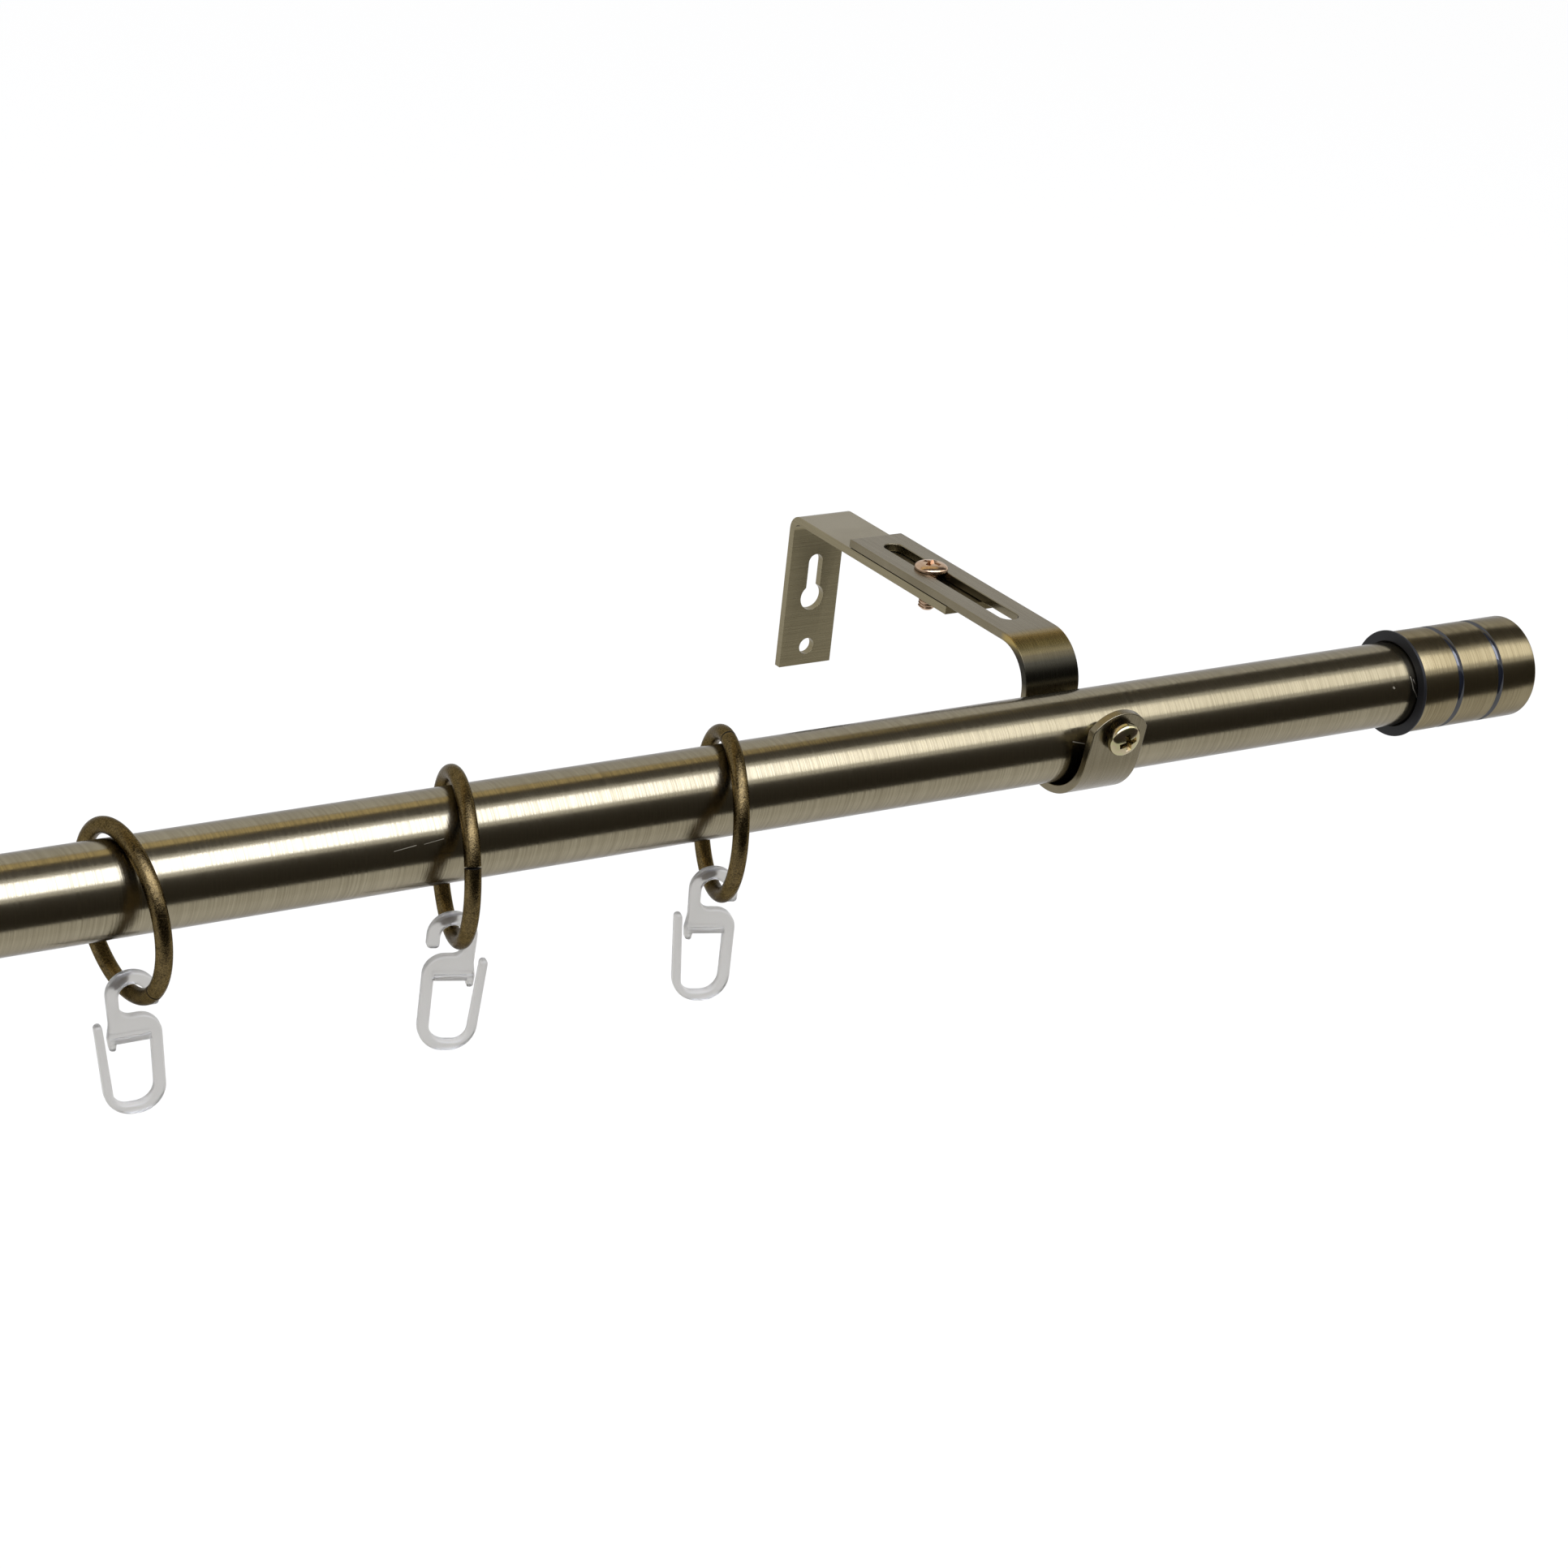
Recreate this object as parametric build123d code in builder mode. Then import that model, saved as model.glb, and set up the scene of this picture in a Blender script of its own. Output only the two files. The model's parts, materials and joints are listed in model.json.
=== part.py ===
from build123d import *
from math import atan2, cos, degrees, radians, sin, sqrt
import os

# Curtain pole on two adjustable wall brackets, with end caps, rings and clear curtain hooks.
# Sizes are in millimetres. X runs along the pole, Y points into the wall and Z is up.
# The origin lies on the wall face, midway between the two lower screw holes.

# Pole and where it sits
tube_diameter = 20.0
tube_wall = 1.0
bracket_spacing = 340.0
pole_overhang = 128.0
projection = 110.0
pole_height = 20.0

# End caps and their plastic liners
cap_wall = 1.0
cap_length = 35.5
cap_end_wall = 2.0
cap_end_bevel = 0.5
groove_places = (11.4, 24.0)
groove_width = 1.3
groove_depth = 0.6
liner_wall = 1.1
liner_length = 22.0
liner_flange_width = 2.7
liner_flange_thickness = 0.8
liner_fit = 0.05

# Bracket strip, wall plate and its level leg
strip_width = 15.0
strip_thickness = 2.0
plate_bend = 2.0
plate_below_hole = 4.8
leg_length = 66.0
screw_hole_diameter = 4.2
keyhole_rise = 13.0
keyhole_diameter = 6.6
keyhole_slot_width = 4.0
keyhole_slot_length = 9.3

# Hook arm, from the tab in front of the pole to the slotted level part
arm_height = 17.4
arm_reach = 84.8
arm_slot_start = 27.8
arm_slot_margin = 5.6
arm_slot_width = 5.0
shoulder_bend = 9.4
cradle_play = 1.3
cradle_seat_gap = 0.1
cradle_seat_angle = 48.0
tab_lean = 9.5
tab_length = 12.7
tab_arc_rise = 4.3
clamp_gap = 0.1

# Screws, M4 with pan heads
screw_diameter = 4.0
thread_gap = 0.05
head_diameter = 8.0
head_height = 2.4
head_bevel = 0.9
screw_point = 0.5
clamp_screw_reach = 48.6
clamp_screw_length = 10.0
lock_screw_rise = 7.0
lock_head_stand_off = 1.2
lock_tip_gap = 0.2

# Rings, bent from round wire with the ends butted together; the wire is drawn with narrow flats
ring_inner_diameter = 31.5
ring_wire = 3.5
ring_seat_gap = 0.3
ring_joint_gap = 0.2
ring_places = (-64.7, 10.0, 75.0)
ring_yaws = (2.3, -17.3, -18.7)
ring_leans = (-5.5, -2.3, -0.2)
ring_joint_angles = (224.0, 163.0, 92.0)

# Curtain hooks, moulded in clear plastic; drops are measured down from the middle of the ring wire
hook_thickness = 2.4
eye_width = 5.4
eye_band = 2.7
eye_clearance = 0.35
eye_corner = 1.9
eye_tip_drop = 3.2
eye_tip_round = 0.7
block_top_drop = 4.9
block_bottom_drop = 10.5
block_shoulder = 4.5
block_half_width = 5.5
leg_side = 5.6
leg_thickness = 2.4
loop_centre_drop = 20.9
loop_thickness = 2.3
tongue_foot_side = 6.8
tongue_foot_thickness = 1.9
tongue_tip_side = 8.1
tongue_tip_thickness = 1.7
tongue_tip_drop = 6.9
tooth_width = 1.8
tooth_height = 1.8
ridge_height = 1.5
ridge_proud = 0.3
hook_facings = (1, -1, 1)
hook_turns = (-14.0, 0.0, 0.0)
hook_slips = (6.0, 0.0, 0.0)
hook_swings = (3.0, -2.0, -3.5)

# Places worked out from the sizes above
tube_radius = tube_diameter / 2
pole_y = -projection
pole_axis = Axis((0, pole_y, pole_height), (1, 0, 0))
tube_half = bracket_spacing / 2 + pole_overhang
liner_inner = tube_radius + liner_fit
liner_outer = liner_inner + liner_wall
cap_bore = liner_outer + liner_fit
cap_radius = cap_bore + cap_wall
arm_top = pole_height + arm_height
arm_slot_length = arm_reach - arm_slot_start - arm_slot_margin
leg_top = arm_top - strip_thickness - clamp_gap
screw_radius = screw_diameter / 2
tapped_radius = screw_radius + thread_gap
clamp_y = -clamp_screw_reach
ring_radius = (ring_inner_diameter + ring_wire) / 2
sides = (("right", 1), ("left", -1))

os.makedirs("parts", exist_ok=True)


def save(piece, name):
    piece.label = name
    export_step(piece, f"parts/{name}.step")


# Pole: one straight thin-walled tube
with BuildPart() as pole_tube:
    with BuildSketch(Plane.YZ):
        with Locations((pole_y, pole_height)):
            Circle(tube_radius)
            Circle(tube_radius - tube_wall, mode=Mode.SUBTRACT)
    extrude(amount=tube_half, both=True)
save(pole_tube.part, "pole_tube")


# End caps: turned metal cups with two grooves, each pushed onto a flanged plastic liner
for side, sign in sides:
    mouth = sign * (tube_half + cap_end_wall - cap_length)
    cap_plane = Plane((mouth, pole_y, pole_height), x_dir=(sign, 0, 0), z_dir=(0, -sign, 0))

    with BuildPart() as end_cap:
        with BuildSketch(cap_plane):
            with BuildLine():
                rim = Polyline((cap_length - cap_end_wall, cap_bore), (0, cap_bore), (0, cap_radius))
                band_end = rim @ 1
                for place in groove_places:
                    groove = Polyline(
                        band_end,
                        (place - groove_width / 2, cap_radius),
                        (place, cap_radius - groove_depth),
                        (place + groove_width / 2, cap_radius),
                    )
                    band_end = groove @ 1
                Polyline(
                    band_end,
                    (cap_length - cap_end_bevel, cap_radius),
                    (cap_length, cap_radius - cap_end_bevel),
                    (cap_length, 0),
                    (cap_length - cap_end_wall, 0),
                    rim @ 0,
                )
            make_face()
        revolve(axis=pole_axis)
    save(end_cap.part, f"{side}_end_cap")

    with BuildPart() as cap_liner:
        with BuildSketch(cap_plane):
            with BuildLine():
                Polyline(
                    (-liner_flange_thickness, liner_inner),
                    (-liner_flange_thickness, liner_inner + liner_flange_width),
                    (0, liner_inner + liner_flange_width),
                    (0, liner_outer),
                    (liner_length, liner_outer),
                    (liner_length, liner_inner),
                    close=True,
                )
            make_face()
        revolve(axis=pole_axis)
    save(cap_liner.part, f"{side}_cap_liner")


# Screws: a pan head above the seat plane and a shank running down from it
def pan_screw(seat, length):
    along = Axis(seat.origin, seat.z_dir)
    with BuildPart() as screw:
        with BuildSketch(seat):
            Circle(screw_radius)
        extrude(amount=-length)
        chamfer(screw.edges().sort_by(along)[0], screw_point)
        with BuildSketch(seat):
            Circle(head_diameter / 2)
        extrude(amount=head_height)
        chamfer(screw.edges().sort_by(along)[-1], head_bevel)
    return screw.part


# Tab of the hook arm, in the bracket's own plane, where the lock screw passes through
lean_y = sin(radians(tab_lean))
lean_z = cos(radians(tab_lean))
cradle_radius = tube_radius + cradle_play
cradle_shift = cradle_play - cradle_seat_gap
cradle_y = pole_y - cradle_shift * cos(radians(cradle_seat_angle))
cradle_z = pole_height + cradle_shift * sin(radians(cradle_seat_angle))
tab_foot = Vector(cradle_y - cradle_radius * lean_z, cradle_z - cradle_radius * lean_y)
tab_up = Vector(-lean_y, lean_z)
tab_tip = tab_foot + tab_up * tab_length
tab_arc_radius = (strip_width ** 2 / 4 + tab_arc_rise ** 2) / (2 * tab_arc_rise)

# Lock screw: from the tab's outer face to just short of the tube
lock_hole = tab_foot + tab_up * lock_screw_rise
lock_low = lock_hole - tab_up * (screw_radius - screw_point) - Vector(pole_y, pole_height)
lock_in = Vector(lean_z, lean_y)
lock_run = -lock_low.dot(lock_in)
lock_miss = lock_low.dot(tab_up)
lock_tip = lock_run - sqrt(tube_radius ** 2 - lock_miss ** 2) - lock_tip_gap
lock_screw_length = strip_thickness + lock_head_stand_off + lock_tip


# Brackets: a wall plate with its level leg, a slotted hook arm on it, and the two screws
for side, sign in sides:
    bracket_x = sign * bracket_spacing / 2
    bracket_plane = Plane.YZ.offset(bracket_x)
    clamp_seat = Plane((bracket_x, clamp_y, arm_top + clamp_gap))
    tab_plane = Plane(
        (bracket_x, tab_tip.X, tab_tip.Y), x_dir=(1, 0, 0), z_dir=(0, -lean_z, -lean_y)
    )

    with BuildPart() as wall_plate:
        with BuildSketch(bracket_plane):
            with BuildLine():
                FilletPolyline(
                    (0, -plate_below_hole),
                    (0, leg_top),
                    (-leg_length, leg_top),
                    radius=plate_bend + strip_thickness,
                )
                offset(amount=strip_thickness, side=Side.LEFT)
            make_face()
        extrude(amount=strip_width / 2, both=True)
        with BuildSketch(Plane((bracket_x, 0, 0), x_dir=(1, 0, 0), z_dir=(0, -1, 0))):
            Circle(screw_hole_diameter / 2)
            with Locations((0, keyhole_rise)):
                Circle(keyhole_diameter / 2)
            with Locations((0, keyhole_rise + keyhole_slot_length / 2)):
                SlotCenterToCenter(keyhole_slot_length, keyhole_slot_width, rotation=90)
        extrude(amount=strip_thickness, mode=Mode.SUBTRACT)
        with BuildSketch(clamp_seat):
            Circle(tapped_radius)
        extrude(amount=-clamp_screw_length, mode=Mode.SUBTRACT)
    save(wall_plate.part, f"{side}_wall_plate")

    with BuildPart() as hook_arm:
        with BuildSketch(bracket_plane):
            with BuildLine():
                tab = Line(tab_tip, tab_foot)
                cradle = JernArc(tab @ 1, tab % 1, cradle_radius, 180 - tab_lean)
                shoulder_start = arm_top - strip_thickness - shoulder_bend
                rise = Line(cradle @ 1, ((cradle @ 1).X, shoulder_start))
                shoulder = JernArc(rise @ 1, rise % 1, shoulder_bend + strip_thickness, -90)
                Line(shoulder @ 1, (pole_y + arm_reach, arm_top))
                offset(amount=strip_thickness, side=Side.RIGHT)
            make_face()
        extrude(amount=strip_width / 2, both=True)
        with BuildSketch(tab_plane):
            Rectangle(strip_width, 2 * tab_arc_rise)
            with Locations((0, -tab_arc_radius)):
                Circle(tab_arc_radius, mode=Mode.SUBTRACT)
            with Locations((0, lock_screw_rise - tab_length)):
                Circle(tapped_radius)
        extrude(amount=strip_thickness, both=True, mode=Mode.SUBTRACT)
        slot_middle = pole_y + arm_slot_start + arm_slot_length / 2
        with BuildSketch(Plane((bracket_x, slot_middle, arm_top))):
            SlotOverall(arm_slot_length, arm_slot_width, rotation=90)
        extrude(amount=-strip_thickness, mode=Mode.SUBTRACT)
    save(hook_arm.part, f"{side}_hook_arm")

    save(pan_screw(clamp_seat, clamp_screw_length), f"{side}_clamp_screw")
    lock_origin = Vector(bracket_x, lock_hole.X, lock_hole.Y)
    lock_seat = Plane(lock_origin, x_dir=(1, 0, 0), z_dir=tab_plane.z_dir)
    lock_seat = lock_seat.offset(strip_thickness + lock_head_stand_off)
    save(pan_screw(lock_seat, lock_screw_length), f"{side}_lock_screw")


# Outline of a curtain hook: a snap-on eye over the ring wire, a block, and a sprung loop below it
eye_radius = eye_width / 2
eye_outer = eye_radius + eye_band
eye_y = ring_wire / 2 + eye_clearance - eye_radius
tip_y = -eye_tip_drop
top_y = -block_top_drop
bottom_y = -block_bottom_drop
loop_y = -loop_centre_drop
leg_inner = leg_side - leg_thickness
tongue_inner = tongue_foot_side - tongue_foot_thickness
loop_outer_radius = (leg_side + tongue_foot_side) / 2
loop_inner_radius = (leg_inner + tongue_inner) / 2
loop_inner_y = loop_y - loop_outer_radius + loop_thickness + loop_inner_radius
tongue_top = tongue_tip_side - tongue_tip_thickness / 2
tongue_y = -tongue_tip_drop
tooth_x = -block_half_width

with BuildSketch() as hook_outline:
    with BuildLine():
        eye_back = Line((-eye_outer, top_y), (-eye_outer, eye_y))
        eye_over = ThreePointArc(eye_back @ 1, (0, eye_y + eye_outer), (eye_outer, eye_y))
        eye_front = Line(eye_over @ 1, (eye_outer, tip_y + eye_tip_round))
        tip_out = JernArc(eye_front @ 1, eye_front % 1, eye_tip_round, -90)
        tip_end = Line(tip_out @ 1, (eye_radius + eye_tip_round, tip_y))
        tip_in = JernArc(tip_end @ 1, tip_end % 1, eye_tip_round, -90)
        eye_right = Line(tip_in @ 1, (eye_radius, eye_y))
        eye_under = ThreePointArc(eye_right @ 1, (0, eye_y + eye_radius), (-eye_radius, eye_y))
        eye_left = Line(eye_under @ 1, (-eye_radius, top_y + eye_corner))
        corner = JernArc(eye_left @ 1, eye_left % 1, eye_corner, 90)
        block_top = Line(corner @ 1, (leg_side - block_shoulder, top_y))
        shoulder = JernArc(block_top @ 1, block_top % 1, block_shoulder, -90)
        leg_out = Line(shoulder @ 1, (leg_side, loop_y))
        loop_out = JernArc(leg_out @ 1, leg_out % 1, loop_outer_radius, -180)
        tongue_out = Line(loop_out @ 1, (-tongue_tip_side, tongue_y))
        tongue_end = ThreePointArc(
            tongue_out @ 1,
            (-tongue_top, tongue_y + tongue_tip_thickness / 2),
            (-tongue_tip_side + tongue_tip_thickness, tongue_y),
        )
        tongue_in = Line(tongue_end @ 1, (-tongue_inner, loop_inner_y))
        loop_in = JernArc(tongue_in @ 1, (0, -1), loop_inner_radius, 180)
        leg_in = Line(loop_in @ 1, (leg_inner, bottom_y))
        Polyline(
            leg_in @ 1,
            (tooth_x + tooth_width, bottom_y),
            (tooth_x + tooth_width / 2, bottom_y - tooth_height),
            (tooth_x, bottom_y),
            eye_back @ 0,
        )
    make_face()

# A hook hangs with its centre of mass straight below the ring wire
hook_middle = hook_outline.face().center(CenterOf.MASS)
hang_angle = atan2(-hook_middle.X, -hook_middle.Y)


# Rings over the pole, each with its curtain hook
for number, place in enumerate(ring_places):
    yaw = radians(ring_yaws[number])
    lean = radians(ring_leans[number])
    joint_angle = radians(ring_joint_angles[number])
    ring_ahead = Vector(cos(yaw), sin(yaw), 0)
    ring_across = Vector(-sin(yaw), cos(yaw), 0)
    ring_up = ring_ahead * sin(lean) + Vector(0, 0, cos(lean))
    ring_normal = ring_across.cross(ring_up)
    ring_drop = ring_radius * cos(lean) - ring_wire / 2 - tube_radius - ring_seat_gap
    ring_centre = Vector(place, pole_y, pole_height - ring_drop)
    ring_axis = Axis(ring_centre, ring_normal)
    joint_way = ring_across * cos(joint_angle) + ring_up * sin(joint_angle)

    with BuildPart() as pole_ring:
        with BuildSketch(Plane(ring_centre, x_dir=joint_way, z_dir=joint_way.cross(ring_normal))):
            with Locations((ring_radius, 0)):
                RegularPolygon(ring_wire / 2, side_count=12)
        revolve(axis=ring_axis, revolution_arc=360 - degrees(ring_joint_gap / ring_radius))
    save(pole_ring.part, f"pole_ring_{number + 1}")

    facing = hook_facings[number]
    hook_yaw = yaw + radians(hook_turns[number])
    hook_ahead = Vector(cos(hook_yaw), sin(hook_yaw), 0) * facing
    hook_angle = hang_angle + radians(hook_swings[number])
    hook_side = hook_ahead * cos(hook_angle) + Vector(0, 0, sin(hook_angle))
    slip = radians(hook_slips[number])
    wire_place = ring_centre - (ring_up * cos(slip) + ring_across * sin(slip)) * ring_radius
    hook_plane = Plane(wire_place, x_dir=hook_side, z_dir=hook_ahead.cross(Vector(0, 0, 1)))
    with BuildPart() as curtain_hook:
        with BuildSketch(hook_plane):
            add(hook_outline.sketch)
        extrude(amount=hook_thickness / 2, both=True)
        with BuildSketch(hook_plane):
            with Locations((tooth_x, bottom_y)):
                Rectangle(leg_inner - tooth_x, ridge_height, align=(Align.MIN, Align.MIN))
        extrude(amount=hook_thickness / 2 + ridge_proud, both=True)
    save(curtain_hook.part, f"curtain_hook_{number + 1}")
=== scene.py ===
import json
from math import atan2, cos, pi, radians, sin, tan

import bmesh
import bpy
from mathutils import Matrix, Vector


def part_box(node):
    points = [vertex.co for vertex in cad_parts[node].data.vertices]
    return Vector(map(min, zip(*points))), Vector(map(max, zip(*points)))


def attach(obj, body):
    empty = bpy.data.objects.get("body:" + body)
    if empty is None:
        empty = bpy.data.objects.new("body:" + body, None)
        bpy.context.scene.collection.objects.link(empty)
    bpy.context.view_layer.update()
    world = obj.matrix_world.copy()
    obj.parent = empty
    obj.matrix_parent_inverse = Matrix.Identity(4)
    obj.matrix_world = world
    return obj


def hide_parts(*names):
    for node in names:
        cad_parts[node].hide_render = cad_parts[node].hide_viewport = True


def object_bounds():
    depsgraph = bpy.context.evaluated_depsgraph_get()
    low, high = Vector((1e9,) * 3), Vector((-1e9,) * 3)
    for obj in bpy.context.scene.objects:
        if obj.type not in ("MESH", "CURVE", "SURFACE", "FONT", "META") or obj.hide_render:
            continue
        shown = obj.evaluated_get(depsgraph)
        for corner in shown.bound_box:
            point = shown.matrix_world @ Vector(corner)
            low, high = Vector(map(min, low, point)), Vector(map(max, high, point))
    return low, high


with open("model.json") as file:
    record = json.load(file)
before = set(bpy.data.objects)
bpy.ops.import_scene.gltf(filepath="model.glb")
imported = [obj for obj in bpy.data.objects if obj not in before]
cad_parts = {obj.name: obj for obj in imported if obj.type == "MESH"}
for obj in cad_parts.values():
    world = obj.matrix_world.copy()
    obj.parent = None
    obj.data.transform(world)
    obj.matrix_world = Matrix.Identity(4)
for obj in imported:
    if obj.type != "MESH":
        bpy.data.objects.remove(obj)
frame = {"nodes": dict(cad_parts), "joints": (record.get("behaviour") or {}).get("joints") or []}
cad_low, cad_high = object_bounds()


# Wall plates: steel strip bent to an L, one leg flat on the wall and the other level.
# Brushed steel in antique brass plating, with sheared edges that are only just rounded.
# Each is held by wall screws through its round hole and its keyhole.
brushed_plating = bpy.data.node_groups.new("brushed_plating", "ShaderNodeTree")
for label, kind in (
    ("Stroke Place", "NodeSocketVector"),
    ("Patch Place", "NodeSocketVector"),
    ("Plating", "NodeSocketColor"),
    ("Patina", "NodeSocketColor"),
    ("Smoothest", "NodeSocketFloat"),
    ("Roughest", "NodeSocketFloat"),
):
    brushed_plating.interface.new_socket(label, in_out="INPUT", socket_type=kind)
for label, kind in (
    ("Color", "NodeSocketColor"),
    ("Roughness", "NodeSocketFloat"),
    ("Strokes", "NodeSocketFloat"),
):
    brushed_plating.interface.new_socket(label, in_out="OUTPUT", socket_type=kind)
nodes, links = brushed_plating.nodes, brushed_plating.links
given = nodes.new("NodeGroupInput")
result = nodes.new("NodeGroupOutput")
strokes = nodes.new("ShaderNodeTexNoise")
strokes.inputs["Scale"].default_value = 1.0
strokes.inputs["Detail"].default_value = 4.0
strokes.inputs["Roughness"].default_value = 0.65
stroke_spread = nodes.new("ShaderNodeMapRange")
stroke_spread.inputs["From Min"].default_value = 0.36
stroke_spread.inputs["From Max"].default_value = 0.64
patches = nodes.new("ShaderNodeTexNoise")
patches.inputs["Scale"].default_value = 1.0
patches.inputs["Detail"].default_value = 3.0
patch_spread = nodes.new("ShaderNodeMapRange")
patch_spread.inputs["From Min"].default_value = 0.35
patch_spread.inputs["From Max"].default_value = 0.7
wear = nodes.new("ShaderNodeMath")
wear.operation = "MULTIPLY_ADD"
wear.inputs[1].default_value = 0.7
patch_share = nodes.new("ShaderNodeMath")
patch_share.operation = "MULTIPLY"
patch_share.inputs[1].default_value = 0.3
colour = nodes.new("ShaderNodeMix")
colour.data_type = "RGBA"
rough = nodes.new("ShaderNodeMapRange")
links.new(given.outputs["Stroke Place"], strokes.inputs["Vector"])
links.new(strokes.outputs["Fac"], stroke_spread.inputs["Value"])
links.new(given.outputs["Patch Place"], patches.inputs["Vector"])
links.new(patches.outputs["Fac"], patch_spread.inputs["Value"])
links.new(patch_spread.outputs["Result"], patch_share.inputs[0])
links.new(stroke_spread.outputs["Result"], wear.inputs[0])
links.new(patch_share.outputs["Value"], wear.inputs[2])
links.new(wear.outputs["Value"], colour.inputs["Factor"])
links.new(given.outputs["Plating"], colour.inputs[6])
links.new(given.outputs["Patina"], colour.inputs[7])
links.new(stroke_spread.outputs["Result"], rough.inputs["Value"])
links.new(given.outputs["Smoothest"], rough.inputs["To Min"])
links.new(given.outputs["Roughest"], rough.inputs["To Max"])
links.new(colour.outputs[2], result.inputs["Color"])
links.new(rough.outputs["Result"], result.inputs["Roughness"])
links.new(stroke_spread.outputs["Result"], result.inputs["Strokes"])


def plated_metal(
    name, plating, patina, edge_tint, smoothest, roughest, stroke_scale, patch_scale, stroke_depth
):
    metal = bpy.data.materials.new(name)
    metal.use_nodes = True
    tree = metal.node_tree
    surface = tree.nodes["Principled BSDF"]
    surface.inputs["Metallic"].default_value = 1.0
    surface.inputs["Specular Tint"].default_value = (*edge_tint, 1)
    place = tree.nodes.new("ShaderNodeTexCoord")
    stroke_place = tree.nodes.new("ShaderNodeMapping")
    stroke_place.inputs["Scale"].default_value = stroke_scale
    patch_place = tree.nodes.new("ShaderNodeMapping")
    patch_place.inputs["Scale"].default_value = patch_scale
    brushing = tree.nodes.new("ShaderNodeGroup")
    brushing.node_tree = brushed_plating
    brushing.inputs["Plating"].default_value = (*plating, 1.0)
    brushing.inputs["Patina"].default_value = (*patina, 1.0)
    brushing.inputs["Smoothest"].default_value = smoothest
    brushing.inputs["Roughest"].default_value = roughest
    relief = tree.nodes.new("ShaderNodeBump")
    relief.inputs["Strength"].default_value = stroke_depth
    relief.inputs["Distance"].default_value = 0.0001
    tree.links.new(place.outputs["Object"], stroke_place.inputs["Vector"])
    tree.links.new(place.outputs["Object"], patch_place.inputs["Vector"])
    tree.links.new(stroke_place.outputs["Vector"], brushing.inputs["Stroke Place"])
    tree.links.new(patch_place.outputs["Vector"], brushing.inputs["Patch Place"])
    tree.links.new(brushing.outputs["Color"], surface.inputs["Base Color"])
    tree.links.new(brushing.outputs["Roughness"], surface.inputs["Roughness"])
    tree.links.new(brushing.outputs["Strokes"], relief.inputs["Height"])
    tree.links.new(relief.outputs["Normal"], surface.inputs["Normal"])
    return metal


def placed(name, data):
    piece = bpy.data.objects.new(name, data)
    bpy.context.scene.collection.objects.link(piece)
    return piece


weld_distance = 1e-6
same_plane_angle = radians(0.5)
rounded_edge_angle = radians(35)


def rounded_copy(node, name, edge_round, shift):
    form = bmesh.new()
    form.from_mesh(frame["nodes"][node].data)
    bmesh.ops.remove_doubles(form, verts=form.verts, dist=weld_distance)
    bmesh.ops.dissolve_limit(form, angle_limit=same_plane_angle, verts=form.verts, edges=form.edges)
    form.verts.index_update()
    corners = [corner.co + shift for corner in form.verts]
    faces = [[corner.index for corner in face.verts] for face in form.faces]
    form.free()
    mesh = bpy.data.meshes.new(name)
    mesh.from_pydata(corners, [], faces)
    mesh.shade_smooth()
    piece = placed(name, mesh)
    edges = piece.modifiers.new("rounded_edges", "BEVEL")
    edges.width = edge_round
    edges.segments = 2
    edges.limit_method = "ANGLE"
    edges.angle_limit = rounded_edge_angle
    edges.harden_normals = True
    return piece


plate_brass = plated_metal(
    "plate_brass",
    plating=(0.238, 0.206, 0.128),
    patina=(0.196, 0.167, 0.1),
    edge_tint=(0.86, 0.86, 0.88),
    smoothest=0.22,
    roughest=0.28,
    stroke_scale=(50, 50, 3200),
    patch_scale=(60, 60, 60),
    stroke_depth=0.03,
)
strip_edge_round = 0.00025
for side in ("right", "left"):
    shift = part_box(f"{side}_wall_plate")[0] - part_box("left_wall_plate")[0]
    wall_plate = rounded_copy("left_wall_plate", f"{side}_bent_plate", strip_edge_round, shift)
    wall_plate.data.materials.append(plate_brass)
    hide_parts(f"{side}_wall_plate")
    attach(wall_plate, "wall_brackets")


# Clamp screws: M4 pan heads through the slot of each arm, tapped into the level leg below it.
# Copper-coloured plating over steel, with a cross recess and a rolled thread.
screw_head_radius = 0.004
screw_head_height = 0.0024
screw_core_radius = 0.0018
thread_pitch = 0.0007
thread_crest_radius = 0.00198
thread_ridge = 0.00022
recess_reach = 0.0026
recess_half_width = 0.00075
recess_share = 0.75
recess_taper = 0.6
recess_overcut = 0.0005
screw_tip_chamfer = 0.0005
thread_run_out = 0.0006
dome_steps = 10
screw_steps = 40
seam_distance = 1e-7
sharp_edge_angle = radians(40)


def turned(name, profile, axis_place, axis, steps, finishes=()):
    turn = axis.to_track_quat("Z", "Y").to_matrix().to_4x4()
    place = Matrix.Translation(axis_place) @ turn
    corners, faces = [], []
    for step in range(steps):
        angle = 2 * pi * step / steps
        for radius, along in profile:
            corners.append(place @ Vector((radius * cos(angle), radius * sin(angle), along)))
    count = len(profile)
    for step in range(steps):
        here, after = step * count, (step + 1) % steps * count
        for k in range(count - 1):
            faces.append((here + k, after + k, after + k + 1, here + k + 1))
    mesh = bpy.data.meshes.new(name)
    mesh.from_pydata(corners, [], faces)
    if finishes:
        mesh.polygons.foreach_set("material_index", list(finishes) * steps)
    form = bmesh.new()
    form.from_mesh(mesh)
    bmesh.ops.remove_doubles(form, verts=form.verts, dist=seam_distance)
    bmesh.ops.recalc_face_normals(form, faces=form.faces)
    form.to_mesh(mesh)
    form.free()
    mesh.shade_smooth()
    mesh.set_sharp_from_angle(angle=sharp_edge_angle)
    return mesh


def finished_mesh(piece):
    return bpy.data.meshes.new_from_object(piece.evaluated_get(bpy.context.evaluated_depsgraph_get()))


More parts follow.
